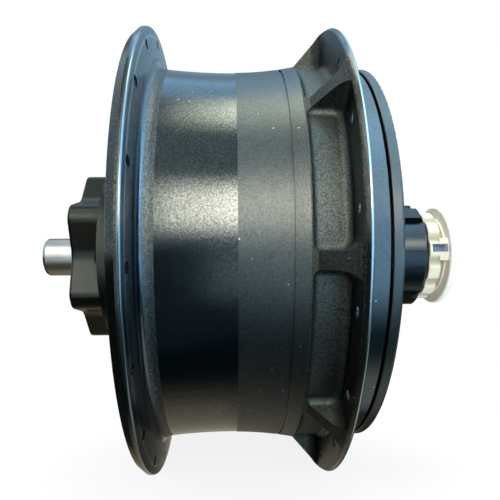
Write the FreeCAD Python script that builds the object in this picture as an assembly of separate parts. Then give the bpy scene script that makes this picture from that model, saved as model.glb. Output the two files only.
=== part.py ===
"""Bicycle hub gear with a stepless ball drive: 18-hole spoke flanges, a six-bolt disc brake mount on
the left, a nine-spline sprocket driver on the right, and a shift pulley at the drive-side end of the axle.

Frame: the axle lies along X, brake side at -X and drive side at +X, +Z up. The origin is on the axle,
half-way between the two spoke flanges. Lengths are millimetres. Angles round it count from -Y towards +Z.

Power path: driver -> roller clutch -> input plate -> cam balls -> input ring -> eight traction balls ->
output ring -> cam balls -> hub shell. The shift pulley turns a screw sleeve, which pushes a nut along the
axle. The nut's pins turn the skew stator a few degrees, and its slanted slots tilt the ball axles.
"""

import FreeCAD
import Part
import os
from math import acos, asin, cos, degrees, hypot, pi, radians, sin, tan

Vector = FreeCAD.Vector
ORIGIN = Vector(0, 0, 0)
ALONG_AXLE = Vector(1, 0, 0)

# ---------------------------------------------------------------- driving sizes: spoke flanges and shell
left_flange_radius = 73.9
right_flange_radius = 73.0
flange_spacing = 55.2
left_flange_thickness = 3.9
right_flange_thickness = 2.6
flange_rim_round = 0.7
flange_face_slope = 0.11
left_rim_bevel = 1.7
left_rim_land = 0.9
left_shoulder_drop = 10.3
spoke_count = 18
left_spoke_edge_distance = 3.9
right_spoke_edge_distance = 5.5
spoke_hole_radius = 1.45
left_spoke_angle = -2.0
right_spoke_angle = 9.0

barrel_left_radius = 61.9
barrel_waist_radius = 60.75
barrel_right_radius = 62.2
barrel_waist_x = -0.5
barrel_fillet = 3.4
matt_band_step = 0.12
matt_band_x = -0.3
seam_x = 12.9
seam_width = 0.9
seam_depth = 0.5
shoulder_x = 17.1
shell_bore_radius = 57.5
end_wall = 3.6
collar_radius = 61.2
collar_end_x = 36.1

rib_count = 9
rib_angle = -1.0
rib_width = 4.8
rib_foot_x = 18.6
rib_foot_rise = 0.7
rib_top_x = 25.6
rib_top_drop = 2.2
rib_rim_x = 28.1
pocket_end_x = 26.9
pocket_depth = 0.6
pocket_flange_round = 3.8
pocket_barrel_round = 2.2
pocket_floor_round = 1.9

# ---------------------------------------------------------------- driving sizes: brake side
disc_face_x = -52.7
disc_lobe_length = 9.7
disc_base_length = 2.6
disc_base_radius = 28.6
disc_lobe_radius = 28.5
disc_lobe_half_width = 2.4
disc_valley_radius = 21.8
disc_lobe_round = 3.6
disc_valley_round = 8.0
disc_edge_round = 1.0
disc_foot_length = 3.0
disc_bolt_count = 6
disc_bolt_circle_radius = 22.0
disc_bolt_radius = 2.1
disc_bolt_depth = 10.0
disc_lobe_angle = 30.0
register_radius = 17.5
register_recess = 0.5

# ---------------------------------------------------------------- driving sizes: axle
axle_left_x = -67.8
axle_right_x = 72.4
axle_end_radius = 6.65
axle_seat_radius = 8.5
axle_shoulder_radius = 10.5
axle_core_radius = 9.0
axle_end_round = 1.2
end_thread_radius = 3.4
end_thread_depth = 20.0
locknut_recess = 0.5
locknut_hex_length = 1.8
locknut_sleeve_radius = 10.5
locknut_hex_flats = 24.0
hex_sides = 6
brake_bearing_inset = 4.7
brake_bearing_width = 7.0
brake_bearing_radius = 15.0

# ---------------------------------------------------------------- driving sizes: traction drive
ball_count = 8
ball_radius = 14.0
ball_circle_radius = 39.0
ball_bore_radius = 2.6
ball_axle_radius = 2.55
ball_axle_tip_radius = 2.0
ball_axle_half_length = 20.3
ball_axle_land = 15.3
contact_angle = 45.0
contact_gap = 0.03
tilt_limit = 18.4
tilt_per_turn = 0.2
skew_per_turn = 0.04
first_ball_angle = 12.0

traction_ring_radius = 55.5
traction_ring_width = 6.5
traction_ring_start = 8.0
cam_ball_count = 12
cam_ball_radius = 2.5
cam_circle_radius = 52.8
cam_pocket_depth = 0.4
cam_plate_thickness = 4.0
cam_plate_gap = 0.2

sun_half_width = 9.0
sun_bore_radius = 20.0
sun_sleeve_radius = 12.0
sun_bearing_width = 7.0

stator_start = 16.0
stator_thickness = 4.0
stator_radius = 49.6
stator_slot_gap = 0.3
stator_window_radius = 4.2
stator_hub_radius = 15.0

# ---------------------------------------------------------------- driving sizes: drive side
cover_rim_radius = 61.6
cover_rim_gap = 0.6
cover_rim_width = 2.9
cover_plug_gap = 0.05
cover_plug_length = 5.0
cover_web = 4.0
cover_boss_end_x = 48.2
cover_bearing_x = 39.5
cover_bearing_width = 7.0
cover_bearing_bore = 15.0
cover_bearing_radius = 21.0
cover_boss_wall = 3.2

driver_start_x = 29.0
driver_shoulder_x = 48.8
driver_shoulder_width = 1.5
driver_shoulder_radius = 19.4
driver_spline_end_x = 61.9
driver_end_x = 63.8
driver_end_radius = 14.4
driver_spline_count = 9
driver_spline_radius = 17.8
driver_spline_root = 16.0
driver_spline_angle = 15.0
driver_bearing_radius = 13.0
driver_bearing_width = 5.0
driver_inner_bearing_x = 31.0
driver_seal_depth = 2.7
driver_seal_width = 1.6
driver_bore_radius = 12.3

clutch_roller_count = 10
clutch_roller_radius = 1.5
clutch_start_x = 30.0
clutch_length = 7.0
clutch_race_wall = 3.6
input_web = 3.4
input_web_start = 21.6
input_window_count = 6
input_window_radius = 5.0

# ---------------------------------------------------------------- driving sizes: shift mechanism
sleeve_radius = 8.5
sleeve_start_x = 16.2
sleeve_thread_length = 14.0
sleeve_thread_radius = 9.4
screw_lead = 8.0
nut_start_x = 18.0
nut_length = 8.0
nut_radius = 12.4
nut_pin_count = 3
nut_pin_radius = 1.4
nut_prong_tip_x = 11.8
nut_prong_angle = 28.0
guide_start_x = 9.5
guide_end_x = 15.5
skew_hub_bore = 12.6
skew_hub_radius = 15.8
skew_hub_end_x = 28.0

pulley_start_x = 64.1
pulley_end_x = 72.2
pulley_flange_radius = 17.05
pulley_flange_width = 2.0
pulley_collar_radius = 15.4
pulley_collar_end_x = 67.8
pulley_bump_count = 12
pulley_bump_angle = 8.0
pulley_bump_round = 0.9
pulley_scallop_radius = 2.9
pulley_scallop_depth = 0.9
pulley_waist_radius = 13.2
pulley_index_width = 7.4
pulley_slot_height = 2.7
pulley_slot_depth = 2.2
pulley_slot_margin = 0.8
pulley_slot_length = 5.1
pulley_slot_offset = 1.5
pulley_hub_end_x = 69.2

# ---------------------------------------------------------------- fits
running_gap = 0.05
free_gap = 0.3
bearing_ball_share = 0.27
bearing_race_share = 0.62
groove_gap = 0.03

# ---------------------------------------------------------------- sizes that follow
left_flange_x = -flange_spacing / 2
right_flange_x = flange_spacing / 2
half_left_flange = left_flange_thickness / 2
half_right_flange = right_flange_thickness / 2
left_spoke_circle = left_flange_radius - left_spoke_edge_distance
right_spoke_circle = right_flange_radius - right_spoke_edge_distance
shell_end_x = disc_face_x + disc_lobe_length + disc_base_length
register_end_x = disc_face_x + register_recess
locknut_x = disc_face_x + locknut_recess
locknut_hex_end_x = locknut_x + locknut_hex_length
brake_bearing_x = disc_face_x + brake_bearing_inset
brake_bearing_end_x = brake_bearing_x + brake_bearing_width
barrel_left_x = left_flange_x + half_left_flange + barrel_fillet + 1.0
cover_rim_x = collar_end_x + cover_rim_gap
cover_face_x = cover_rim_x + cover_rim_width
driver_seal_x = driver_end_x - driver_seal_depth - driver_seal_width
driver_outer_bearing_x = driver_seal_x - driver_bearing_width
stator_end = stator_start + stator_thickness
sun_radius = ball_circle_radius - ball_radius - contact_gap
turn_limit = tilt_limit / tilt_per_turn
skew_limit = turn_limit * skew_per_turn
nut_travel = screw_lead * turn_limit / 360
cam_plane = traction_ring_start + traction_ring_width - cam_pocket_depth + cam_ball_radius
cam_plate_start = cam_plane + cam_ball_radius - cam_pocket_depth
cam_plate_bore = cam_circle_radius - cam_ball_radius - cam_plate_gap


# ---------------------------------------------------------------- helpers
class Outline:
    """A half section in (x, radius), closed and spun round the axle by solid()."""

    def __init__(self, x, r):
        self.first = self.last = (x, r)
        self.edges = []

    @staticmethod
    def _point(p):
        return Vector(p[0], 0, p[1])

    def line(self, x, r):
        if abs(x - self.last[0]) + abs(r - self.last[1]) > 1e-6:
            self.edges.append(Part.LineSegment(self._point(self.last), self._point((x, r))).toShape())
        self.last = (x, r)
        return self

    def lines(self, *points):
        for x, r in points:
            self.line(x, r)
        return self

    def arc(self, through, end):
        curve = Part.Arc(self._point(self.last), self._point(through), self._point(end))
        self.edges.append(curve.toShape())
        self.last = end
        return self

    def face(self):
        self.line(*self.first)
        return Part.Face(Part.Wire(self.edges))

    def solid(self):
        return self.face().revolve(ORIGIN, ALONG_AXLE, 360)


def tube(inner, outer, start, end):
    """A plain ring on the axle."""
    return Outline(start, inner).lines((end, inner), (end, outer), (start, outer)).solid()


def rod(radius, start, end):
    return Part.makeCylinder(radius, end - start, Vector(start, 0, 0), ALONG_AXLE)


def at_angle(shape, angle):
    """A copy turned round the axle from angle 0, which is -Y, towards +Z."""
    turned = shape.copy()
    turned.rotate(ORIGIN, ALONG_AXLE, -angle)
    return turned


def spaced(shape, count, first=0.0):
    return [at_angle(shape, first + 360 * i / count) for i in range(count)]


def fused(shapes):
    return shapes[0].multiFuse(shapes[1:]).removeSplitter()


def export(name, *solids):
    """Writes one node: a solid, or a group of separate solids."""
    shape = solids[0] if len(solids) == 1 else Part.makeCompound(list(solids))
    shape.exportStep("parts/" + name + ".step")


def radial_rod(radius, inner, outer, x):
    """A rod that stands out from the axle along -Y at place x."""
    return Part.makeCylinder(radius, outer - inner, Vector(x, -inner, 0), Vector(0, -1, 0))


def sector(inner, outer, start, end, width_angle):
    """A ring piece centred on angle 0, width_angle wide."""
    section = Outline(start, inner).lines((end, inner), (end, outer), (start, outer)).face()
    section.rotate(ORIGIN, ALONG_AXLE, 90 - width_angle / 2)
    return section.revolve(ORIGIN, ALONG_AXLE, width_angle)


def plate_from(points, start, end):
    """A flat outline given as (angle, radius) corners, extruded along the axle."""
    corners = [Vector(start, -r * cos(radians(a)), r * sin(radians(a))) for a, r in points]
    return Part.Face(Part.makePolygon(corners + corners[:1])).extrude(Vector(end - start, 0, 0))


def edges_along_axle(solid):
    """Straight edges that run along the axle."""
    found = []
    for edge in solid.Edges:
        if edge.Curve.TypeId == "Part::GeomLine" and edge.Length > 0.5:
            direction = edge.tangentAt(edge.FirstParameter)
            if abs(abs(direction.x) - 1) < 1e-6:
                found.append(edge)
    return found


def ball_bearing(bore, outside, start, width, count):
    """Inner ring, outer ring and ball set of a deep-groove bearing, as three shapes."""
    pitch = (bore + outside) / 2
    ball = (outside - bore) * bearing_ball_share
    middle = start + width / 2
    groove = Part.makeTorus(pitch, ball + groove_gap, Vector(middle, 0, 0), ALONG_AXLE)
    land = ball * bearing_race_share
    inner = tube(bore, pitch - land, start, start + width).cut(groove)
    outer = tube(pitch + land, outside, start, start + width).cut(groove)
    ball_solid = Part.makeSphere(ball, Vector(middle, -pitch, 0))
    return inner, outer, spaced(ball_solid, count)


# ---------------------------------------------------------------- hub shell
def barrel_radius(x):
    """Outer radius of the gently waisted barrel at x."""
    if x < barrel_waist_x:
        share = (barrel_waist_x - x) / (barrel_waist_x - barrel_left_x)
        return barrel_waist_radius + (barrel_left_radius - barrel_waist_radius) * share ** 2
    share = (x - barrel_waist_x) / (shoulder_x - barrel_waist_x)
    return barrel_waist_radius + (barrel_right_radius - barrel_waist_radius) * share ** 2


def shell_blank():
    """The casting's turned form: end wall, left flange, barrel, right flange and cover collar."""
    rim = left_flange_radius
    edge = flange_rim_round
    left_out = left_flange_x - half_left_flange
    left_in = left_flange_x + half_left_flange
    right_out = right_flange_x + half_right_flange
    foot = left_in + flange_face_slope * (rim - barrel_left_radius - barrel_fillet)
    band = barrel_radius(matt_band_x)
    half_left = (barrel_left_x + matt_band_x) / 2
    half_right = (matt_band_x + seam_x) / 2
    seam_in = seam_x - seam_width / 2
    seam_out = seam_x + seam_width / 2
    outline = Outline(shell_end_x, disc_base_radius)
    # end wall, a shallow cone that swells into the left flange
    outline.line(shell_end_x + 1.4, disc_base_radius + 2.0)
    shoulder = left_spoke_circle - left_shoulder_drop
    outline.line(left_out - 2.4, shoulder)
    outline.arc((left_out - 0.7, shoulder + 4.5), (left_out, left_spoke_circle - 2.4))
    bevel_foot = rim - left_rim_bevel
    outline.line(left_out, bevel_foot - edge * 0.4)
    outline.arc((left_out + edge * 0.15, bevel_foot), (left_out + edge * 0.5, bevel_foot + edge * 0.3))
    outline.line(left_in - edge - left_rim_land, rim)
    outline.line(left_in - edge, rim)
    outline.arc((left_in - edge * 0.3, rim - edge * 0.3), (left_in, rim - edge))
    # left flange face and its fillet down to the barrel
    outline.line(foot, barrel_left_radius + barrel_fillet)
    outline.arc(
        (foot + barrel_fillet * 0.29, barrel_left_radius + barrel_fillet * 0.29),
        (foot + barrel_fillet, barrel_left_radius),
    )
    outline.line(barrel_left_x, barrel_left_radius)
    outline.arc((half_left, barrel_radius(half_left)), (matt_band_x, band))
    outline.line(matt_band_x, band + matt_band_step)
    outline.arc(
        (half_right, barrel_radius(half_right) + matt_band_step),
        (seam_in, barrel_radius(seam_in) + matt_band_step),
    )
    outline.line(seam_in, barrel_radius(seam_in) - seam_depth)
    outline.line(seam_out, barrel_radius(seam_out) - seam_depth)
    outline.line(seam_out, barrel_radius(seam_out) + matt_band_step)
    # cone that the ribs are left standing in, rounded into the right flange's rim, then the cover collar
    outline.line(shoulder_x, barrel_right_radius + matt_band_step)
    rim = right_flange_radius
    rib_bend = ((rib_top_x + rib_rim_x) / 2, rim - rib_top_drop * 0.3)
    outline.line(rib_foot_x, barrel_right_radius + rib_foot_rise)
    outline.line(rib_top_x, rim - rib_top_drop)
    outline.arc(rib_bend, (rib_rim_x, rim))
    outline.line(right_out - edge, rim)
    outline.arc((right_out - edge * 0.3, rim - edge * 0.3), (right_out, rim - edge))
    outline.lines((right_out, collar_radius + 1.2), (right_out + 1.2, collar_radius))
    outline.lines((collar_end_x, collar_radius), (collar_end_x, shell_bore_radius))
    # inside: bore, output cam seat, end wall, snout with the bearing seat
    inner_wall_x = shell_end_x + end_wall
    seat_x = -cam_plate_start - cam_plate_thickness
    outline.lines((seat_x, shell_bore_radius), (seat_x, cam_plate_bore))
    outline.line(left_flange_x, cam_plate_bore)
    outline.line(inner_wall_x, register_radius + 4.0)
    outline.line(inner_wall_x, locknut_sleeve_radius + 3.0)
    outline.line(brake_bearing_end_x, locknut_sleeve_radius + 3.0)
    outline.lines((brake_bearing_end_x, brake_bearing_radius), (register_end_x, brake_bearing_radius))
    outline.lines((register_end_x, register_radius - 0.6), (register_end_x + 0.6, register_radius))
    outline.line(shell_end_x, register_radius)
    return outline.solid()


def rib_pocket():
    """Cutter for one pocket between two ribs, with rounded corners on every side."""
    floor_radius = barrel_right_radius - pocket_depth
    width = 360 / rib_count - degrees(rib_width / right_flange_radius)
    cutter = sector(floor_radius, right_flange_radius + 4.0, shoulder_x, pocket_end_x, width)
    at_flange = [e for e in cutter.Edges if is_radial(e) and e.BoundBox.XMin > pocket_end_x - 0.1]
    cutter = cutter.makeFillet(pocket_flange_round, at_flange)
    at_barrel = [e for e in cutter.Edges if is_radial(e) and e.BoundBox.XMax < shoulder_x + 0.1]
    cutter = cutter.makeFillet(pocket_barrel_round, at_barrel)
    floor = [e for e in cutter.Edges if farthest_radius(e) < floor_radius + 0.01]
    return cutter.makeFillet(pocket_floor_round, floor)


def farthest_radius(edge):
    return max(hypot(v.Point.y, v.Point.z) for v in edge.Vertexes)


def is_radial(edge):
    """True for a straight edge that points away from the axle."""
    reach = [hypot(v.Point.y, v.Point.z) for v in edge.Vertexes]
    return edge.Curve.TypeId == "Part::GeomLine" and max(reach) - min(reach) > 1.0


def spoke_holes(circle, start, end, first_angle):
    """Cutters for one flange's spoke holes."""
    hole = rod(spoke_hole_radius, start, end)
    hole.translate(Vector(0, -circle, 0))
    return spaced(hole, spoke_count, first_angle)


def hub_shell():
    pockets = spaced(rib_pocket(), rib_count, rib_angle + 180 / rib_count)
    reach = left_flange_thickness + barrel_fillet
    left_start = left_flange_x - reach
    left = spoke_holes(left_spoke_circle, left_start, left_flange_x + reach, left_spoke_angle)
    right_start = right_flange_x - reach
    right = spoke_holes(right_spoke_circle, right_start, right_flange_x + reach, right_spoke_angle)
    return shell_blank().cut(Part.makeCompound(pockets)).cut(Part.makeCompound(left + right))


# ---------------------------------------------------------------- brake side
def disc_mount():
    """Six-lobed mount for a brake disc, seated on the shell's snout, with threaded holes in its lobes."""
    lobe = degrees(asin(disc_lobe_half_width / disc_lobe_radius))
    pitch = 360 / disc_bolt_count
    corners = []
    for i in range(disc_bolt_count):
        centre = disc_lobe_angle + pitch * i
        corners.append((centre - lobe, disc_lobe_radius))
        corners.append((centre + lobe, disc_lobe_radius))
        corners.append((centre + pitch / 2, disc_valley_radius))
    lobes = plate_from(corners, disc_face_x, disc_face_x + disc_lobe_length)
    tips = [e for e in edges_along_axle(lobes) if farthest_radius(e) > disc_valley_radius + 1]
    lobes = lobes.makeFillet(disc_lobe_round, tips)
    valleys = [e for e in edges_along_axle(lobes) if farthest_radius(e) < disc_valley_radius + 1]
    lobes = lobes.makeFillet(disc_valley_round, valleys)
    front = [e for e in lobes.Edges if abs(e.BoundBox.XMax - disc_face_x) < 1e-4]
    lobes = lobes.makeFillet(disc_edge_round, front)
    base_start = disc_face_x + disc_lobe_length
    foot_start = base_start - disc_foot_length
    foot_rise = disc_base_radius - disc_valley_radius
    bend = (base_start - disc_foot_length * 0.25, disc_valley_radius + foot_rise * 0.3)
    base = Outline(foot_start, register_radius)
    base.line(foot_start, disc_valley_radius)
    base.arc(bend, (base_start, disc_base_radius))
    base.line(shell_end_x, disc_base_radius)
    base.line(shell_end_x, register_radius)
    mount = fused([lobes, base.solid()]).cut(rod(register_radius, disc_face_x - 1, shell_end_x + 1))
    hole = rod(disc_bolt_radius, disc_face_x - 1, disc_face_x + disc_bolt_depth)
    hole.translate(Vector(0, -disc_bolt_circle_radius, 0))
    return mount.cut(Part.makeCompound(spaced(hole, disc_bolt_count, disc_lobe_angle)))


def locknut():
    """Hexagon locknut whose sleeve holds the brake-side bearing's inner ring against its shoulder."""
    sleeve = tube(axle_seat_radius, locknut_sleeve_radius, locknut_x, brake_bearing_x)
    corner = locknut_hex_flats / 2 / cos(pi / hex_sides)
    corners = [(360 * i / hex_sides, corner) for i in range(hex_sides)]
    head = plate_from(corners, locknut_x, locknut_hex_end_x)
    head = head.cut(rod(axle_seat_radius, locknut_x - 1, locknut_hex_end_x + 1))
    return fused([sleeve, head])


def brake_seal():
    start = locknut_hex_end_x + free_gap
    end = brake_bearing_x - running_gap
    return tube(locknut_sleeve_radius + running_gap, brake_bearing_radius, start, end)


def axle():
    """Stepped steel shaft, plain at both ends, with a tapped hole in each end."""
    blank = Outline(axle_left_x, 0)
    blank.line(axle_left_x, axle_end_radius - axle_end_round)
    blank.arc(
        (axle_left_x + axle_end_round * 0.29, axle_end_radius - axle_end_round * 0.29),
        (axle_left_x + axle_end_round, axle_end_radius),
    )
    blank.lines((locknut_x, axle_end_radius), (locknut_x, axle_seat_radius))
    blank.lines((brake_bearing_end_x, axle_seat_radius), (brake_bearing_end_x, axle_shoulder_radius))
    blank.lines((-stator_end, axle_shoulder_radius), (-stator_end, axle_core_radius))
    blank.lines((guide_end_x, axle_core_radius), (guide_end_x, axle_end_radius))
    blank.lines((axle_right_x - axle_end_round, axle_end_radius))
    blank.line(axle_right_x, axle_end_radius - axle_end_round)
    blank.line(axle_right_x, 0)
    holes = []
    for end, way in ((axle_left_x, 1), (axle_right_x, -1)):
        direction = Vector(way, 0, 0)
        place = Vector(end, 0, 0)
        holes.append(Part.makeCylinder(end_thread_radius, end_thread_depth, place, direction))
        mouth = end_thread_radius + 0.7
        holes.append(Part.makeCone(mouth, end_thread_radius, 0.7, place, direction))
    return blank.solid().cut(Part.makeCompound(holes))


# ---------------------------------------------------------------- traction drive
def traction_ring(side):
    """Ring with a conical track that bears on every ball, and pockets for the cam balls."""
    reach = ball_radius + contact_gap
    angle = radians(contact_angle)
    track_x = reach * sin(angle)
    track_r = ball_circle_radius + reach * cos(angle)
    outer_part = track_x - traction_ring_start
    inner_part = 1.5
    slope = tan(angle)
    end = traction_ring_start + traction_ring_width
    section = Outline(traction_ring_start, traction_ring_radius)
    section.line(traction_ring_start, track_r + outer_part / slope)
    section.line(track_x + inner_part, track_r - inner_part / slope)
    section.lines((end - 1.2, track_r), (end, track_r + 1.6), (end, traction_ring_radius))
    ring = section.solid()
    ring = ring.cut(Part.makeCompound(cam_ball_solids(1)))
    return mirrored(ring) if side < 0 else ring


def mirrored(shape):
    return shape.mirror(ORIGIN, ALONG_AXLE)


def cam_ball_solids(side):
    ball = Part.makeSphere(cam_ball_radius, Vector(side * cam_plane, -cam_circle_radius, 0))
    return spaced(ball, cam_ball_count)


def output_cam_plate():
    """Hardened plate in the shell's end wall, with the pockets that the output cam balls climb."""
    plate = tube(cam_plate_bore, shell_bore_radius, -cam_plate_start - cam_plate_thickness, -cam_plate_start)
    return plate.cut(Part.makeCompound(cam_ball_solids(-1)))


def input_plate():
    """Cam flange, web and clutch race in one forging."""
    race_bore = cover_bearing_bore + 2 * clutch_roller_radius + running_gap
    race_radius = race_bore + clutch_race_wall
    race_end = clutch_start_x + clutch_length + 0.6
    web_end = input_web_start + input_web
    section = Outline(cam_plate_start, cam_plate_bore)
    section.lines((cam_plate_start, traction_ring_radius), (web_end, traction_ring_radius))
    section.lines((web_end, race_radius + 1.4), (web_end + 1.4, race_radius))
    section.line(race_end, race_radius)
    section.lines((race_end, race_bore), (input_web_start, race_bore))
    section.line(input_web_start, cam_plate_bore)
    plate = section.solid()
    ramp = rod(clutch_roller_radius + running_gap, clutch_start_x - running_gap, race_end + 1)
    ramp.translate(Vector(0, -clutch_circle_radius(), 0))
    deep = rod(clutch_roller_radius + 0.35, clutch_start_x - running_gap, race_end + 1)
    deep.translate(Vector(0, -clutch_circle_radius() - 0.1, 0))
    ramps = spaced(ramp, clutch_roller_count) + spaced(deep, clutch_roller_count, 4.0)
    windows = spaced(input_window(web_end, race_radius), input_window_count, 180 / input_window_count)
    plate = plate.cut(Part.makeCompound(ramps)).cut(Part.makeCompound(windows))
    return plate.cut(Part.makeCompound(cam_ball_solids(1)))


def input_window(web_end, race_radius):
    """A lightening hole in the web of the input plate."""
    middle = (race_radius + cam_circle_radius - cam_ball_radius) / 2
    hole = rod(input_window_radius, input_web_start - 1, web_end + 1)
    hole.translate(Vector(0, -middle, 0))
    return hole


def clutch_circle_radius():
    return cover_bearing_bore + running_gap + clutch_roller_radius


def clutch_rollers():
    roller = rod(clutch_roller_radius, clutch_start_x, clutch_start_x + clutch_length)
    roller.translate(Vector(0, -clutch_circle_radius(), 0))
    return spaced(roller, clutch_roller_count)


def clutch_cage():
    """Thin ring beside the rollers, with a finger between each pair."""
    start = clutch_start_x + clutch_length - 0.1
    inner = cover_bearing_bore + running_gap + 0.2
    outer = inner + 2 * clutch_roller_radius - 0.6
    rim = tube(inner, outer, start + 0.4, start + 1.3)
    finger = sector(inner, outer, clutch_start_x + 1.0, start + 0.5, 12.0)
    fingers = spaced(finger, clutch_roller_count, 180 / clutch_roller_count)
    return fused([rim] + fingers)


def slot_section(half_width, skew_share, x):
    """Outline of one stator slot at place x: a band with round ends along the path of the ball axle's middle.

    The path is curved where skew_share is not zero, because the carrier turns while the axle tilts.
    """
    places = []
    for tilt in (-tilt_limit, 0.0, tilt_limit):
        radius = ball_circle_radius + abs(x) * tan(radians(tilt))
        lean = radians(-tilt * skew_share)
        places.append(Vector(x, -radius * cos(lean), radius * sin(lean)))
    curved = abs(skew_share) > 1e-9
    path = Part.Arc(*places) if curved else Part.LineSegment(places[0], places[2])
    low = []
    high = []
    tangents = []
    for share in (0.0, 0.5, 1.0):
        place = path.FirstParameter + share * (path.LastParameter - path.FirstParameter)
        tangent = path.tangent(place)[0]
        side = tangent.cross(ALONG_AXLE) * half_width
        low.append(path.value(place) - side)
        high.append(path.value(place) + side)
        tangents.append(tangent * half_width)
    low_side = Part.Arc(*low) if curved else Part.LineSegment(low[0], low[2])
    high_side = Part.Arc(*reversed(high)) if curved else Part.LineSegment(high[2], high[0])
    outer_end = Part.Arc(low[2], places[2] + tangents[2], high[2])
    inner_end = Part.Arc(high[0], places[0] - tangents[0], low[0])
    return Part.Wire([side.toShape() for side in (low_side, outer_end, high_side, inner_end)])


def stator_slots(skew_share, start, end):
    """Cutters for all slots of one stator. Each slot opens out along the hub as the tilted axle does."""
    half_width = ball_axle_tip_radius + stator_slot_gap
    sections = [slot_section(half_width, skew_share, x) for x in (start, end)]
    return spaced(Part.makeLoft(sections, True, True), ball_count, first_ball_angle)


def fixed_stator():
    """Brake-side carrier, keyed to the axle, with a straight radial slot for each ball axle."""
    blank = Outline(-stator_end, axle_core_radius)
    blank.lines((-stator_end, stator_radius), (-stator_start, stator_radius))
    blank.lines((-stator_start, stator_hub_radius), (-sun_half_width - 1.0, stator_hub_radius - 1.4))
    blank.line(-sun_half_width - 1.0, axle_core_radius)
    slots = stator_slots(0.0, -stator_start + 1, -stator_end - 1)
    windows = stator_windows(-stator_end - 1, -stator_start + 1)
    return blank.solid().cut(Part.makeCompound(slots)).cut(Part.makeCompound(windows))


def stator_windows(start, end):
    """Lightening holes, one between each two slots."""
    hole = rod(stator_window_radius, start, end)
    hole.translate(Vector(0, -ball_circle_radius, 0))
    return spaced(hole, ball_count, first_ball_angle + 180 / ball_count)


def skew_stator():
    """Drive-side carrier that turns a few degrees. Its hub takes the pins of the shift nut."""
    plate = tube(skew_hub_bore, stator_radius, stator_start, stator_end)
    hub = tube(skew_hub_bore, skew_hub_radius, guide_end_x - 1.5, skew_hub_end_x)
    body = fused([plate, hub])
    slots = stator_slots(skew_per_turn / tilt_per_turn, stator_start - 1, stator_end + 1)
    windows = stator_windows(stator_start - 1, stator_end + 1)
    pin_slots = spaced(pin_slot(), nut_pin_count)
    return body.cut(Part.makeCompound(slots)).cut(Part.makeCompound(windows + pin_slots))


def pin_slot():
    """Slanted slot through the hub for one nut pin, long enough for the nut's whole travel."""
    gap = nut_pin_radius + free_gap
    middle_x = nut_start_x + nut_length / 2
    lean = (nut_radius + skew_hub_radius) / 2 * radians(skew_limit)
    inner = -nut_radius + 0.5
    near = Vector(middle_x - nut_travel, inner, lean)
    far = Vector(middle_x + nut_travel, inner, -lean)
    side = (far - near).cross(Vector(0, 1, 0)).normalize() * gap
    outwards = Vector(0, -(skew_hub_radius - nut_radius + 1.5), 0)
    corners = [near + side, far + side, far - side, near - side]
    band = Part.Face(Part.makePolygon(corners + corners[:1])).extrude(outwards)
    ends = [Part.makeCylinder(gap, outwards.Length, place, outwards) for place in (near, far)]
    return fused([band] + ends)


def traction_ball():
    ball = Part.makeSphere(ball_radius, Vector(0, -ball_circle_radius, 0))
    bore = rod(ball_bore_radius, -ball_radius - 1, ball_radius + 1)
    bore.translate(Vector(0, -ball_circle_radius, 0))
    return ball.cut(bore)


def ball_axle():
    """Axle of one traction ball, with thinner tips that run in the stators' slots."""
    tip = ball_axle_half_length
    land = ball_axle_land
    blank = Outline(-tip, 0).lines(
        (-tip, ball_axle_tip_radius - 0.3),
        (-tip + 0.3, ball_axle_tip_radius),
        (-land, ball_axle_tip_radius),
        (-land, ball_axle_radius),
        (land, ball_axle_radius),
        (land, ball_axle_tip_radius),
        (tip - 0.3, ball_axle_tip_radius),
        (tip, ball_axle_tip_radius - 0.3),
        (tip, 0),
    ).solid()
    blank.translate(Vector(0, -ball_circle_radius, 0))
    return blank


# ---------------------------------------------------------------- drive side
def hub_cover():
    """Screwed-in end cover: rim, plug in the shell's bore, domed web and bearing boss."""
    plug = shell_bore_radius - cover_plug_gap
    plug_start = cover_rim_x - cover_plug_length
    boss = cover_bearing_radius + cover_boss_wall
    bearing_end = cover_bearing_x + cover_bearing_width
    groove = 1.5
    section = Outline(cover_rim_x, cover_rim_radius - 0.3)
    section.arc((cover_rim_x + 0.1, cover_rim_radius - 0.1), (cover_rim_x + 0.3, cover_rim_radius))
    section.line(cover_face_x - 0.8, cover_rim_radius)
    section.arc((cover_face_x - 0.25, cover_rim_radius - 0.25), (cover_face_x, cover_rim_radius - 0.8))
    section.line(cover_face_x, cover_rim_radius - 4.0)
    section.line(cover_face_x - 0.8, cover_rim_radius - 5.0)
    section.line(cover_face_x + 3.8, boss + 6.0)
    section.line(cover_boss_end_x - 0.6, boss)
    section.lines((cover_boss_end_x, boss - 0.6), (cover_boss_end_x, cover_bearing_radius))
    section.lines((cover_bearing_x, cover_bearing_radius), (cover_bearing_x, cover_bearing_radius - 1.5))
    section.lines((cover_bearing_x - 1.2, cover_bearing_radius - 1.5), (cover_bearing_x - 1.2, boss))
    section.line(cover_face_x + 3.8 - cover_web, boss + 6.0)
    section.line(cover_face_x - 0.8 - cover_web, cover_rim_radius - 8.0)
    section.line(plug_start, plug - 2.8)
    section.lines((plug_start, plug - 0.6), (plug_start + 0.6, plug))
    section.lines((cover_rim_x - groove - 1.4, plug), (cover_rim_x - groove - 1.4, plug - 0.9))
    section.lines((cover_rim_x - 1.4, plug - 0.9), (cover_rim_x - 1.4, plug), (cover_rim_x, plug))
    cover = section.solid()
    socket = rod(1.6, cover_face_x - 2.2, cover_face_x + 2)
    socket.translate(Vector(0, -cover_rim_radius + 2.6, 0))
    return cover.cut(Part.makeCompound(spaced(socket, 6, 10.0)))


def cover_o_ring():
    plug = shell_bore_radius - cover_plug_gap
    middle = cover_rim_x - 1.4 - 0.75
    return Part.makeTorus(plug - 0.45, 0.45, Vector(middle, 0, 0), ALONG_AXLE)


def cover_seal():
    start = cover_bearing_x + cover_bearing_width
    return tube(cover_bearing_bore + running_gap, cover_bearing_radius, start, cover_boss_end_x)


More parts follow.
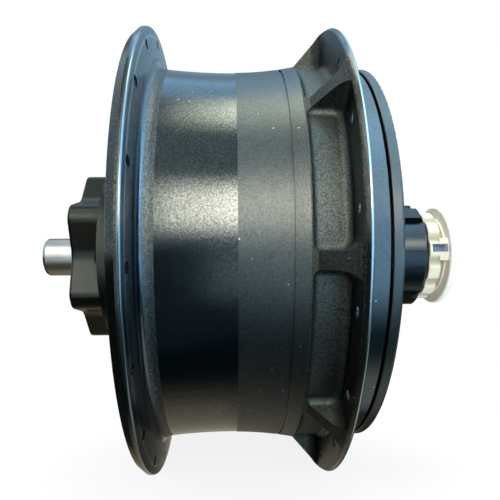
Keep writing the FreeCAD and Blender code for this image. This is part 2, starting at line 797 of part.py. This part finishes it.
def driver():
    """Sprocket carrier: clutch race and bearing seats inside the hub, shoulder and nine splines outside."""
    blank = Outline(driver_start_x, driver_bearing_radius)
    blank.lines((driver_start_x, cover_bearing_bore - 0.4), (driver_start_x + 0.4, cover_bearing_bore))
    blank.lines((driver_shoulder_x, cover_bearing_bore), (driver_shoulder_x, driver_shoulder_radius))
    shoulder_end = driver_shoulder_x + driver_shoulder_width
    blank.lines((shoulder_end, driver_shoulder_radius), (shoulder_end, driver_spline_radius))
    blank.lines((driver_spline_end_x, driver_spline_radius), (driver_end_x, driver_end_radius))
    inner_end = driver_inner_bearing_x + driver_bearing_width
    blank.lines((driver_end_x, driver_bearing_radius), (driver_outer_bearing_x, driver_bearing_radius))
    blank.lines((driver_outer_bearing_x, driver_bore_radius), (inner_end, driver_bore_radius))
    blank.line(inner_end, driver_bearing_radius)
    pitch = 360 / driver_spline_count
    valley = sector(driver_spline_root, driver_spline_radius + 2, shoulder_end, driver_end_x + 1, pitch / 2)
    valleys = spaced(valley, driver_spline_count, driver_spline_angle + pitch / 2)
    return blank.solid().cut(Part.makeCompound(valleys))


def driver_seal():
    end = driver_seal_x + driver_seal_width
    return tube(sleeve_radius + running_gap, driver_bearing_radius, driver_seal_x, end)


# ---------------------------------------------------------------- shift mechanism
def shift_sleeve():
    """Tube that turns on the axle with the pulley. A coarse screw at its inner end drives the nut."""
    bore = axle_end_radius + running_gap
    thread_end = sleeve_start_x + sleeve_thread_length
    blank = Outline(sleeve_start_x, bore)
    blank.lines((sleeve_start_x, sleeve_thread_radius - 0.5), (sleeve_start_x + 0.5, sleeve_thread_radius))
    blank.lines((thread_end, sleeve_thread_radius), (thread_end, sleeve_radius))
    blank.lines((pulley_hub_end_x, sleeve_radius), (pulley_hub_end_x, bore))
    return blank.solid()


def shift_nut():
    """Nut on the sleeve's screw, kept from turning by prongs that run in the guide's slots."""
    bore = sleeve_thread_radius + running_gap
    body = tube(bore, nut_radius, nut_start_x, nut_start_x + nut_length)
    prong = sector(bore, nut_radius - 0.1, nut_prong_tip_x, nut_start_x + 0.5, nut_prong_angle)
    prongs = spaced(prong, nut_pin_count, 180 / nut_pin_count)
    socket = radial_rod(nut_pin_radius, bore + 1.0, nut_radius + 1, nut_start_x + nut_length / 2)
    return fused([body] + prongs).cut(Part.makeCompound(spaced(socket, nut_pin_count)))


def nut_pins():
    x = nut_start_x + nut_length / 2
    sweep = acos(1 - nut_pin_radius ** 2 / (2 * skew_hub_radius ** 2))
    top = skew_hub_radius * cos(sweep) - 0.2
    bore = sleeve_thread_radius + running_gap
    return spaced(radial_rod(nut_pin_radius, bore + 1.0, top, x), nut_pin_count)


def nut_guide():
    """Collar fixed on the axle. Its slots hold the nut's prongs, and its rim carries the skew stator."""
    collar = tube(axle_core_radius, skew_hub_bore - running_gap, guide_start_x, guide_end_x)
    slot_angle = nut_prong_angle + 4.0
    slot = sector(axle_core_radius + 0.25, skew_hub_bore + 1, guide_start_x - 1, guide_end_x + 1, slot_angle)
    return collar.cut(Part.makeCompound(spaced(slot, nut_pin_count, 180 / nut_pin_count)))


def pulley_collar():
    """The pulley's grip: a collar with scallops between rounded bumps."""
    collar = rod(pulley_collar_radius, pulley_start_x, pulley_collar_end_x)
    scallop = rod(pulley_scallop_radius, pulley_start_x - 1, pulley_collar_end_x + 1)
    scallop.translate(Vector(0, -pulley_collar_radius - pulley_scallop_radius + pulley_scallop_depth, 0))
    first = pulley_bump_angle + 180 / pulley_bump_count
    collar = collar.cut(Part.makeCompound(spaced(scallop, pulley_bump_count, first)))
    sharp = [e for e in edges_along_axle(collar) if farthest_radius(e) > pulley_collar_radius - 0.1]
    return collar.makeFillet(pulley_bump_round, sharp)


def shift_pulley():
    """Moulded pulley: scalloped collar, waist, wide flange, and an index lug with a slot across the waist."""
    flange_x = pulley_end_x - pulley_flange_width
    overlap = 0.5
    waist = rod(pulley_waist_radius, pulley_collar_end_x - overlap, flange_x + overlap)
    flange = Outline(flange_x, 0).lines(
        (flange_x, pulley_flange_radius - 0.3),
        (flange_x + 0.3, pulley_flange_radius),
        (pulley_end_x - 0.5, pulley_flange_radius),
        (pulley_end_x, pulley_flange_radius - 0.5),
        (pulley_end_x, 0),
    ).solid()
    lug_start = pulley_collar_end_x - overlap
    lug_length = flange_x + overlap - lug_start
    corner = Vector(lug_start, -pulley_collar_radius - 1, -pulley_index_width / 2)
    lug = Part.makeBox(lug_length, pulley_collar_radius, pulley_index_width, corner)
    lug = lug.common(rod(pulley_collar_radius, pulley_start_x, pulley_end_x))
    slot_start = pulley_start_x + pulley_slot_margin
    corner = Vector(slot_start, -pulley_collar_radius - 2, -pulley_slot_height / 2)
    slot = Part.makeBox(pulley_slot_length, pulley_slot_depth + 2, pulley_slot_height, corner)
    body = fused([pulley_collar(), waist, flange, at_angle(lug, pulley_bump_angle)])
    bore = rod(sleeve_radius, pulley_start_x - 1, pulley_hub_end_x)
    mouth = rod(axle_end_radius + running_gap, pulley_hub_end_x - 0.5, pulley_end_x + 1)
    return body.cut(at_angle(slot, pulley_bump_angle + pulley_slot_offset)).cut(bore).cut(mouth)


# ---------------------------------------------------------------- writing the nodes
def write_all():
    os.makedirs("parts", exist_ok=True)
    export("hub_shell", hub_shell())
    export("disc_mount", disc_mount())
    export("axle", axle())
    export("brake_side_locknut", locknut())
    export("brake_side_seal", brake_seal())
    inner, outer, balls = ball_bearing(
        axle_seat_radius, brake_bearing_radius, brake_bearing_x, brake_bearing_width, 11
    )
    export("brake_bearing_inner", inner)
    export("brake_bearing_outer", outer)
    export("brake_bearing_balls", *balls)

    export("output_cam_plate", output_cam_plate())
    export("output_cam_balls", *cam_ball_solids(-1))
    export("output_ring", traction_ring(-1))
    export("input_ring", traction_ring(1))
    export("input_cam_balls", *cam_ball_solids(1))
    export("input_plate", input_plate())
    export("clutch_rollers", *clutch_rollers())
    export("clutch_cage", clutch_cage())

    for i, ball in enumerate(spaced(traction_ball(), ball_count, first_ball_angle)):
        export(f"traction_ball_{i + 1}", ball)
    for i, shaft in enumerate(spaced(ball_axle(), ball_count, first_ball_angle)):
        export(f"ball_axle_{i + 1}", shaft)
    export("fixed_stator", fixed_stator())
    export("skew_stator", skew_stator())

    export("sun_roller", tube(sun_bore_radius, sun_radius, -sun_half_width, sun_half_width))
    export("sun_sleeve", tube(axle_core_radius, sun_sleeve_radius, -sun_half_width - 1.0, guide_start_x))
    races = [
        ball_bearing(sun_sleeve_radius, sun_bore_radius, start, sun_bearing_width, 10)
        for start in (-sun_half_width, sun_half_width - sun_bearing_width)
    ]
    export("sun_bearing_inners", *[r[0] for r in races])
    export("sun_bearing_outers", *[r[1] for r in races])
    export("sun_bearing_balls", *[b for r in races for b in r[2]])

    export("hub_cover", hub_cover())
    export("cover_o_ring", cover_o_ring())
    export("cover_seal", cover_seal())
    inner, outer, balls = ball_bearing(
        cover_bearing_bore, cover_bearing_radius, cover_bearing_x, cover_bearing_width, 17
    )
    export("cover_bearing_inner", inner)
    export("cover_bearing_outer", outer)
    export("cover_bearing_balls", *balls)
    export("driver", driver())
    export("driver_seal", driver_seal())
    races = [
        ball_bearing(sleeve_radius, driver_bearing_radius, start, driver_bearing_width, 13)
        for start in (driver_inner_bearing_x, driver_outer_bearing_x)
    ]
    export("driver_bearing_inners", *[r[0] for r in races])
    export("driver_bearing_outers", *[r[1] for r in races])
    export("driver_bearing_balls", *[b for r in races for b in r[2]])

    export("shift_sleeve", shift_sleeve())
    export("shift_nut", shift_nut())
    export("nut_pins", *nut_pins())
    export("nut_guide", nut_guide())
    export("shift_pulley", shift_pulley())


write_all()
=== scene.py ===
from math import cos, radians, sin, tau

import bpy
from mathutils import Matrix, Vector

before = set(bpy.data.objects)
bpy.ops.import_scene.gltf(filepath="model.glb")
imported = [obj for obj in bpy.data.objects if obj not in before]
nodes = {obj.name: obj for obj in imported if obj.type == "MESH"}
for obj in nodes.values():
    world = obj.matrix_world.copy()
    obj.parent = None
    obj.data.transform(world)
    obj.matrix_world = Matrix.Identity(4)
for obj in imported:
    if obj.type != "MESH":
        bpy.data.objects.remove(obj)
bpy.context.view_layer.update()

bpy.ops.object.select_all(action="DESELECT")


# ------------------------------------------------------------------ camera
# One plain camera stands in front of the hub at axle height, tipped slightly down, and close enough that the
# drum's curve shows its perspective.
camera_place = (-0.00267, -0.18018, 0.0)
camera_tip = 3.62
camera_roll = 0.29
bpy.ops.object.camera_add(location=camera_place, rotation=(radians(90 - camera_tip), radians(camera_roll), 0))
camera = bpy.context.object
camera.name = "view_camera"
camera.data.lens = 35.82
camera.data.sensor_width = 36.0
camera.data.shift_x = 0.043
camera.data.shift_y = 0.0756
camera.data.clip_start = 0.01
bpy.context.scene.camera = camera
bpy.context.scene.view_settings.view_transform = "Standard"


# ------------------------------------------------------------------ floor
# A pale table top under the spoke flanges. It is white to the camera away from the hub and keeps the hub's
# own shadow close by.
class Signal:
    """A shader socket that takes part in arithmetic."""

    def __init__(self, finish, socket):
        self.finish = finish
        self.socket = socket

    def math(self, operation, *others):
        return self.finish.node("ShaderNodeMath", {"operation": operation}, self, *others)

    def __add__(self, other):
        return self.math("ADD", other)

    def __radd__(self, other):
        return self.finish.node("ShaderNodeMath", {"operation": "ADD"}, other, self)

    def __sub__(self, other):
        return self.math("SUBTRACT", other)

    def __rsub__(self, other):
        return self.finish.node("ShaderNodeMath", {"operation": "SUBTRACT"}, other, self)

    def __mul__(self, other):
        return self.math("MULTIPLY", other)

    def __rmul__(self, other):
        return self.finish.node("ShaderNodeMath", {"operation": "MULTIPLY"}, other, self)

    def __pow__(self, other):
        return self.math("POWER", other)

    def above(self, low, high):
        """0 below low, 1 above high, with a smooth step between."""
        settings = {"interpolation_type": "SMOOTHSTEP"}
        return self.finish.node("ShaderNodeMapRange", settings, self, low, high, 0.0, 1.0)

    def below(self, low, high):
        return 1 - self.above(low, high)

    def between(self, low, high, soft):
        return self.above(low - soft, low + soft) * self.below(high - soft, high + soft)


class Finish:
    """One node-built finish: a material, or the world."""

    def __init__(self, owner):
        self.owner = owner
        owner.use_nodes = True
        self.tree = owner.node_tree
        self.tree.nodes.clear()

    def node(self, kind, settings=None, *inputs, out=0, **named):
        made = self.tree.nodes.new(kind)
        for name, value in (settings or {}).items():
            setattr(made, name, value)
        for place, value in list(enumerate(inputs)) + list(named.items()):
            if isinstance(place, str):
                place = place.replace("_", " ")
            self.feed(made.inputs[place], value)
        return Signal(self, made.outputs[out])

    def feed(self, socket, value):
        if isinstance(value, Signal):
            self.tree.links.new(value.socket, socket)
        elif socket.type == "RGBA":
            socket.default_value = (*value, 1)
        else:
            socket.default_value = value

    def blend(self, share, first, second):
        """Colour first where share is 0, second where it is 1."""
        made = self.tree.nodes.new("ShaderNodeMix")
        made.data_type = "RGBA"
        # the mix node keeps its factor in input 0, its colours in inputs 6 and 7, and their mix in output 2
        for place, value in ((0, share), (6, first), (7, second)):
            self.feed(made.inputs[place], value)
        return Signal(self, made.outputs[2])

    def place(self):
        """Object coordinates as a whole and as x, y and z."""
        spot = self.node("ShaderNodeTexCoord", out="Object")
        return spot, *self.parts(spot)

    def parts(self, vector):
        split = self.node("ShaderNodeSeparateXYZ", {}, vector)
        return [Signal(self, part) for part in split.socket.node.outputs]

    def finished(self, shader, output="ShaderNodeOutputMaterial"):
        end = self.tree.nodes.new(output)
        self.tree.links.new(shader.socket, end.inputs["Surface"])
        return self.owner


def wear_finish(piece, material):
    piece.data.materials.clear()
    piece.data.materials.append(material)


floor_level = -0.0739
floor_size = 1.6
white_share = 0.86
bpy.ops.mesh.primitive_plane_add(size=floor_size, location=(0, 0, floor_level))
floor = bpy.context.object
floor.name = "floor"
bpy.ops.object.transform_apply(location=True, rotation=True, scale=True)
paper = Finish(bpy.data.materials.new("white_paper"))
x, y, _ = paper.parts(paper.node("ShaderNodeTexCoord", out="Object"))
reach = (x * x + y * y) ** 0.5
sheet = paper.node("ShaderNodeBsdfPrincipled", {}, Base_Color=(0.86, 0.86, 0.85), Roughness=0.9)
bright = paper.node("ShaderNodeEmission", {}, (1.0, 1.0, 1.0), 1.0)
seen = paper.node("ShaderNodeLightPath", out="Is Camera Ray")
share = seen * (white_share + (1 - white_share) * reach.above(0.05, 0.20))
paper_shader = paper.node("ShaderNodeMixShader", {}, share, sheet, bright)
wear_finish(floor, paper.finished(paper_shader))
floor.visible_glossy = False


# ------------------------------------------------------------------ lights and backdrop
# One soft box hangs over the hub, a second stands high behind the camera and a third to its left. Mirrors
# see none of them. They see a room of soft patches: white in front of the brake side, pale blue on the
# drive side, and dark below.
def soft_box(name, place, target, width, height, power, colour):
    bpy.ops.object.light_add(type="AREA", location=place)
    lamp = bpy.context.object
    lamp.name = name
    lamp.data.shape = "RECTANGLE"
    lamp.data.size = width
    lamp.data.size_y = height
    lamp.data.energy = power
    lamp.data.color = colour
    aim = [t - p for t, p in zip(target, place)]
    lamp.rotation_mode = "QUATERNION"
    lamp.rotation_quaternion = Vector(aim).to_track_quat("-Z", "Y")
    lamp.visible_glossy = False


soft_box("top_box", (0.04, 0.10, 0.62), (0, 0, 0.03), 0.36, 0.40, 4.0, (1.0, 1.0, 0.95))
soft_box("front_box", (0.04, -0.72, 0.40), (0, 0, 0), 0.26, 0.34, 3.2, (1.0, 1.0, 0.95))
soft_box("left_box", (-0.50, -0.42, 0.22), (0.07, 0, 0), 0.30, 0.30, 3.0, (1.0, 1.0, 0.96))

room = bpy.data.worlds.new("studio")
room.cycles.sampling_method = "NONE"
bpy.context.scene.world = room
air = Finish(room)
across, ahead, up = air.parts(air.node("ShaderNodeTexCoord", out="Generated"))
# 0 is straight in front of the hub, 90 overhead, 180 behind it and -90 underneath
turn = up.math("ARCTAN2", 0 - ahead) * (360 / tau)
# a dim strip of wall lies between the white middle and the window on the drive side
dim = across.above(0.01, 0.075)
ceiling = air.blend(dim, (0.40, 0.58, 0.64), (0.22, 0.31, 0.33))
wall = air.blend(dim, (0.86, 1.20, 1.30), (0.05, 0.10, 0.14))
room_colour = air.blend(turn.above(8.0, 50.0), wall, ceiling)
room_colour = air.blend(turn.below(-32.0, -14.0), room_colour, (0.045, 0.070, 0.095))
room_colour = air.blend(turn.below(-56.0, -36.0), room_colour, (0.004, 0.016, 0.026))
table_colour = air.blend(dim, (0.44, 0.41, 0.32), (0.14, 0.13, 0.10))
room_colour = air.blend(turn.below(-112.0, -72.0), room_colour, table_colour)
room_colour = air.blend(turn.between(103.0, 129.0, 5.0), room_colour, (0.70, 1.30, 1.90))
room_colour = air.blend(turn.above(125.0, 141.0), room_colour, (0.30, 0.46, 0.62))
# the brake side: warm white up in front, fading to brown underneath
lit = air.blend(turn.above(54.0, 80.0), (3.40, 3.35, 2.95), (0.70, 0.72, 0.62))
lit = air.blend(turn.above(124.0, 146.0), lit, (0.12, 0.15, 0.16))
lit = air.blend(turn.below(-6.0, 34.0), lit, (0.55, 0.54, 0.47))
lit = air.blend(turn.below(-50.0, -16.0), lit, (0.10, 0.10, 0.075))
lit = air.blend(turn.below(-100.0, -66.0), lit, (0.20, 0.16, 0.10))
room_colour = air.blend(across.below(-0.34, -0.17), room_colour, lit)
far = air.blend(turn.above(30.0, 60.0), (0.70, 0.78, 0.72), (0.52, 0.72, 0.86))
far = air.blend(turn.below(-6.0, 26.0), far, (0.02, 0.03, 0.03))
room_colour = air.blend(across.below(-0.50, -0.38), room_colour, far)
# the drive side: a tall pale-blue window, dark just below it, a pale table underneath and dark behind
window = air.blend(turn.below(4.0, 60.0), (1.45, 2.46, 3.40), (0.80, 1.55, 2.30))
window = air.blend(turn.below(-46.0, -8.0), window, (0.03, 0.08, 0.11))
window = air.blend(turn.above(52.0, 70.0), window, (1.70, 3.00, 4.30))
window = air.blend(turn.above(82.0, 98.0), window, (1.30, 2.15, 2.80))
window = air.blend(turn.above(100.0, 120.0), window, (0.80, 1.25, 1.60))
window = air.blend(turn.above(124.0, 146.0), window, (0.30, 0.48, 0.60))
window = air.blend(turn.below(-80.0, -58.0), window, (0.52, 0.60, 0.62))
window = air.blend(turn.below(-113.0, -97.0), window, (0.06, 0.06, 0.05))
room_colour = air.blend(across.above(0.10, 0.22), room_colour, window)
camera_ray = air.node("ShaderNodeLightPath", out="Is Camera Ray")
glossy_ray = air.node("ShaderNodeLightPath", out="Is Glossy Ray")
fill = air.node("ShaderNodeBackground", {}, (0.92, 0.96, 1.0), 0.5)
mirrored = air.node("ShaderNodeBackground", {}, room_colour, 1.0)
white = air.node("ShaderNodeBackground", {}, (1.0, 1.0, 1.0), 1.0)
lighting = air.node("ShaderNodeMixShader", {}, glossy_ray, fill, mirrored)
backdrop = air.node("ShaderNodeMixShader", {}, camera_ray, lighting, white)
air.finished(backdrop, "ShaderNodeOutputWorld")


# ------------------------------------------------------------------ mirror cards
# Soft white cards hang close to the barrel, in front and overhead, and a third out past the driver's end. A
# black flag hangs low in front of the barrel's left end. Only mirror finishes see them, and they fade out at
# every edge.
card_size = 0.36


def mirror_card(name, turned, foot, reach, half_length, soft, left, right, colour):
    """A glowing card at a distance from the point foot on the barrel, square to a direction given in degrees
    up from the front. It fades in over the left pair of x places and out over the right pair."""
    place = (0.0, foot[0] - reach * cos(radians(turned)), foot[1] + reach * sin(radians(turned)))
    bpy.ops.mesh.primitive_plane_add(size=card_size, location=place, rotation=(radians(90 - turned), 0, 0))
    card = bpy.context.object
    card.name = name
    bpy.ops.object.transform_apply(location=True, rotation=True, scale=True)
    glow = Finish(bpy.data.materials.new(name))
    x, y, z = glow.parts(glow.node("ShaderNodeTexCoord", out="Object"))
    along = (y - place[1]) * sin(radians(turned)) + (z - place[2]) * cos(radians(turned))
    share = along.between(-half_length, half_length, soft) * x.above(*left) * x.below(*right)
    light = glow.node("ShaderNodeEmission", {}, colour, 1.0)
    clear = glow.node("ShaderNodeBsdfTransparent")
    wear_finish(card, glow.finished(glow.node("ShaderNodeMixShader", {}, share, clear, light)))
    for ray in ("camera", "diffuse", "transmission", "shadow", "volume_scatter"):
        setattr(card, "visible_" + ray, False)


front_foot = (-0.0596, 0.0116)
top_foot = (-0.0480, 0.0375)
flag_foot = (-0.0600, -0.0090)
card_reach = 0.150
flag_reach = 0.060
barrel_left = (-0.026, 0.010)
barrel_right = (0.030, 0.060)
driver_left = (0.096, 0.106)
driver_right = (0.140, 0.155)
flag_left = (-0.045, -0.030)
flag_right = (-0.014, 0.004)
mirror_card(
    "front_card", 28.5, front_foot, card_reach, 0.037, 0.027, barrel_left, barrel_right, (9.0, 9.2, 8.0)
)
mirror_card(
    "driver_card", 31.0, front_foot, card_reach, 0.024, 0.012, driver_left, driver_right, (10.0, 10.0, 9.0)
)
mirror_card(
    "top_card", 92.0, top_foot, card_reach, 0.030, 0.027, barrel_left, barrel_right, (5.6, 6.2, 5.2)
)
mirror_card(
    "black_flag", -22.0, flag_foot, flag_reach, 0.050, 0.012, flag_left, flag_right, (0.03, 0.06, 0.08)
)


# ------------------------------------------------------------------ hub shell
# One cast and turned aluminium shell, black anodised: a polished left band, a satin right band, and raw
# cast pockets between the ribs. It turns on one bearing on the axle and one on the driver. Its finish
# follows bands along the axle, x, and rings about it, radius. Some bands carry painted reflections,
# highlights and shade, each marked below.
strip_start = -0.0229
polished_start = -0.0206
polished_end = -0.0003
satin_end = 0.0171
left_face = -0.0292
left_inner_face = -0.0254
right_inner_face = 0.0265
right_face = 0.0286
left_holes = 0.0700
right_holes = 0.0675
hole_edge = 0.0001

shell_finish = Finish(bpy.data.materials.new("anodised_shell"))
spot, x, y, z = shell_finish.place()
radius = (y * y + z * z) ** 0.5
strip = x.above(strip_start - 0.0006, strip_start) * x.below(polished_start, polished_start + 0.0001)
strip = strip * radius.below(0.0640, 0.0660)
satin = x.between(polished_end, satin_end, 0.00012)
in_pocket = x.between(satin_end, 0.0267, 0.0001) * radius.below(0.0715, 0.0722)
web_shade = x.above(0.0262, 0.0266) * x.below(0.0272, 0.0274) * radius.above(0.0636, 0.0644)
right_rim_line = x.above(0.0281, 0.0283) * x.below(0.0290, 0.0291) * radius.above(0.0716, 0.0719)
lathe = shell_finish.node("ShaderNodeCombineXYZ", {}, x * 5200.0, radius * 5200.0, 0.0)
turning = shell_finish.node("ShaderNodeTexNoise", {"noise_dimensions": "2D"}, lathe, Scale=1.0, Detail=2.0)
grain = shell_finish.node("ShaderNodeTexNoise", {}, spot, Scale=2100.0, Detail=2.0)
cast = shell_finish.node("ShaderNodeTexNoise", {}, spot, Scale=1300.0, Detail=2.0)
cloud = shell_finish.node("ShaderNodeTexNoise", {}, spot, Scale=38.0, Detail=4.0)
cell = shell_finish.node("ShaderNodeTexVoronoi", {}, spot, Scale=330.0)
cell_colour = Signal(shell_finish, cell.socket.node.outputs["Color"])
lot = shell_finish.node("ShaderNodeSeparateColor", {}, cell_colour)
dust = cell.below(0.050, 0.090) * lot.above(0.70, 0.72)
rough = 0.13 + 0.05 * cloud + 0.22 * satin + 0.30 * strip + 0.36 * in_pocket + 0.20 * web_shade
base = shell_finish.blend(satin, (0.068, 0.068, 0.067), (0.055, 0.055, 0.052))
base = shell_finish.blend(strip, base, (0.045, 0.043, 0.038))
# painted reflection: the left flange's inner face is tinted blue where it mirrors the blue window on the
# drive side
painted_blue_reflection = x.between(-0.0262, strip_start - 0.0008, 0.0004)
base = shell_finish.blend(painted_blue_reflection, base, (0.038, 0.078, 0.118))
# painted reflection: a lighter blue band on the fillet at the left flange's root, where it mirrors the sky
flange_root_reflection = x.between(-0.0247, -0.0236, 0.0006) * radius.below(0.0660, 0.0670)
base = shell_finish.blend(flange_root_reflection, base, (0.10, 0.155, 0.20))
# painted highlight: a pale blue line along the left flange's rounded rim
left_rim_highlight = x.between(-0.0266, -0.0256, 0.0001) * radius.above(0.0730, 0.0732)
base = shell_finish.blend(left_rim_highlight, base, (0.19, 0.22, 0.24))
# painted glint: the spoke hole walls are pale metal, so the holes show as bright ellipses
left_hole_ring = radius.between(left_holes - 0.0016, left_holes + 0.0016, hole_edge)
hole_glint = x.between(left_face, left_inner_face, hole_edge) * left_hole_ring
right_hole_ring = radius.between(right_holes - 0.0017, right_holes + 0.0017, hole_edge)
hole_glint = hole_glint + x.between(right_inner_face, right_face, hole_edge) * right_hole_ring
base = shell_finish.blend(hole_glint, base, (0.70, 0.74, 0.78))
# partly the raw cast finish, partly painted shade: the pocket floors between the ribs are darkened where
# shade falls
base = shell_finish.blend(in_pocket, base, (0.048, 0.049, 0.038))
# painted shade: the flange web inside the pockets is painted near black, as it lies in shade
base = shell_finish.blend(web_shade, base, (0.000, 0.001, 0.000))
# the right flange's rounded rim edge is coloured pale grey metal, as a bright line
base = shell_finish.blend(right_rim_line, base, (0.50, 0.51, 0.50))
base = shell_finish.blend(dust, base, (0.60, 0.60, 0.57))
outer_face = x.below(-0.0268, -0.0266)
base = shell_finish.blend(outer_face, base, (0.045, 0.042, 0.036))
speckle = (grain - 0.5) * (0.9 - 0.45 * satin - 0.55 * x.above(0.0290, 0.0292))
speckled = shell_finish.blend(0.45, base, (0.26, 0.26, 0.25))
base = shell_finish.blend(speckle.above(-0.25, 0.25), base, speckled)
height = turning * 0.4 + grain * 1.2 + cast * 2.2 * in_pocket
bump = shell_finish.node("ShaderNodeBump", {}, Strength=0.22, Distance=0.00005, Height=height)
shell_shader = shell_finish.node(
    "ShaderNodeBsdfPrincipled", {}, Base_Color=base, Metallic=1.0, Roughness=rough, Normal=bump
)
wear_finish(nodes["hub_shell"], shell_finish.finished(shell_shader))


# ------------------------------------------------------------------ disc mount
# The six-lobed mount for a brake disc, aluminium with rounded edges, anodised satin black. It is seated on
# the shell's snout and turns with it.
def plain_metal(name, colour, roughness, grain_scale, grain_depth, metallic=1.0):
    finish = Finish(bpy.data.materials.new(name))
    spot = finish.node("ShaderNodeTexCoord", out="Object")
    grain = finish.node("ShaderNodeTexNoise", {}, spot, Scale=grain_scale, Detail=3.0)
    cloud = finish.node("ShaderNodeTexNoise", {}, spot, Scale=60.0, Detail=3.0)
    bump = finish.node("ShaderNodeBump", {}, Strength=0.3, Distance=grain_depth, Height=grain)
    darker = tuple(part * 0.85 for part in colour)
    lighter = tuple(part * 1.1 for part in colour)
    shade = finish.blend(cloud.above(0.3, 0.75), darker, lighter)
    shader = finish.node(
        "ShaderNodeBsdfPrincipled",
        {},
        Base_Color=shade,
        Metallic=metallic,
        Roughness=roughness + 0.08 * (cloud - 0.5),
        Normal=bump,
    )
    return finish.finished(shader)


wear_finish(nodes["disc_mount"], plain_metal("satin_black", (0.058, 0.060, 0.054), 0.25, 2200.0, 0.00004))


# ------------------------------------------------------------------ cover and driver
# A turned aluminium cover closes the drive side of the shell. The splined driver, of blackened steel, carries
# the sprocket and runs in the cover's middle.
wear_finish(nodes["hub_cover"], plain_metal("cover_grey", (0.108, 0.106, 0.098), 0.33, 2600.0, 0.00004))
wear_finish(nodes["driver"], plain_metal("black_steel", (0.052, 0.052, 0.052), 0.25, 1500.0, 0.00005))


# ------------------------------------------------------------------ shift pulley
# The cable pulley at the drive end turns the shift screw. It is moulded in natural nylon. Its recesses are
# painted tan as shade, and its outer flange is painted near-white as light.
collar_end = 0.0678
outer_flange = 0.0697
nylon = Finish(bpy.data.materials.new("natural_nylon"))
spot, x, y, z = nylon.place()
radius = (y * y + z * z) ** 0.5
cloud = nylon.node("ShaderNodeTexNoise", {}, spot, Scale=140.0, Detail=3.0)
ivory = nylon.blend(cloud, (0.84, 0.85, 0.74), (0.76, 0.76, 0.60))
# painted shade: the collar's scallops are tan where shade falls in them
scallop_shade = radius.below(0.0142, 0.0153) * x.below(collar_end - 0.0001, collar_end + 0.0001)
colour = nylon.blend(scallop_shade, ivory, (0.40, 0.38, 0.24))
# painted shade: the waist beside the outer flange is tan, where the flange shades it
waist_shade = radius.below(0.0137, 0.0139) * x.between(0.0676, outer_flange, 0.0001)
colour = nylon.blend(waist_shade, colour, (0.42, 0.37, 0.23))
# painted light: the outer flange is near-white, which lifts its inner face out of the shade it lies in
colour = nylon.blend(x.above(outer_flange - 0.0001, outer_flange + 0.0001), colour, (0.92, 0.95, 0.91))
angle = z.math("ARCTAN2", 0 - y) * (360 / tau)
slot = radius.below(0.0134, 0.0136) * x.between(0.0650, 0.0699, 0.0001) * angle.between(4.0, 15.0, 0.3)
colour = nylon.blend(slot, colour, (0.13, 0.21, 0.33))
bump = nylon.node("ShaderNodeBump", {}, Strength=0.2, Distance=0.00005, Height=cloud)
nylon_shader = nylon.node(
    "ShaderNodeBsdfPrincipled",
    {},
    Base_Color=colour,
    Roughness=0.38,
    Subsurface_Weight=0.25,
    Subsurface_Scale=0.004,
    Normal=bump,
)
wear_finish(nodes["shift_pulley"], nylon.finished(nylon_shader))


# ------------------------------------------------------------------ axle, seals and inside
# The steel axle and its locknut, and the drive in the closed shell: polished balls between ground rings and
# rollers, machined aluminium stators and screw guide, and the clutch's moulded cage. The rubber seals and the
# O-ring have no finish of their own here and show the ground steel too.
outside = ("hub_shell", "disc_mount", "hub_cover", "driver", "shift_pulley")
ground = plain_metal("ground_steel", (0.55, 0.55, 0.56), 0.25, 1800.0, 0.00003)
polished = plain_metal("polished_steel", (0.75, 0.75, 0.77), 0.08, 900.0, 0.00001)
machined = plain_metal("machined_aluminium", (0.66, 0.67, 0.68), 0.32, 1500.0, 0.00003)
cage = plain_metal("cage_nylon", (0.15, 0.12, 0.08), 0.5, 900.0, 0.00004, metallic=0.0)
for name, piece in nodes.items():
    if name in outside:
        continue
    if "ball" in name and "axle" not in name:
        wear_finish(piece, polished)
    elif "stator" in name or "guide" in name:
        wear_finish(piece, machined)
    elif "cage" in name:
        wear_finish(piece, cage)
    else:
        wear_finish(piece, ground)
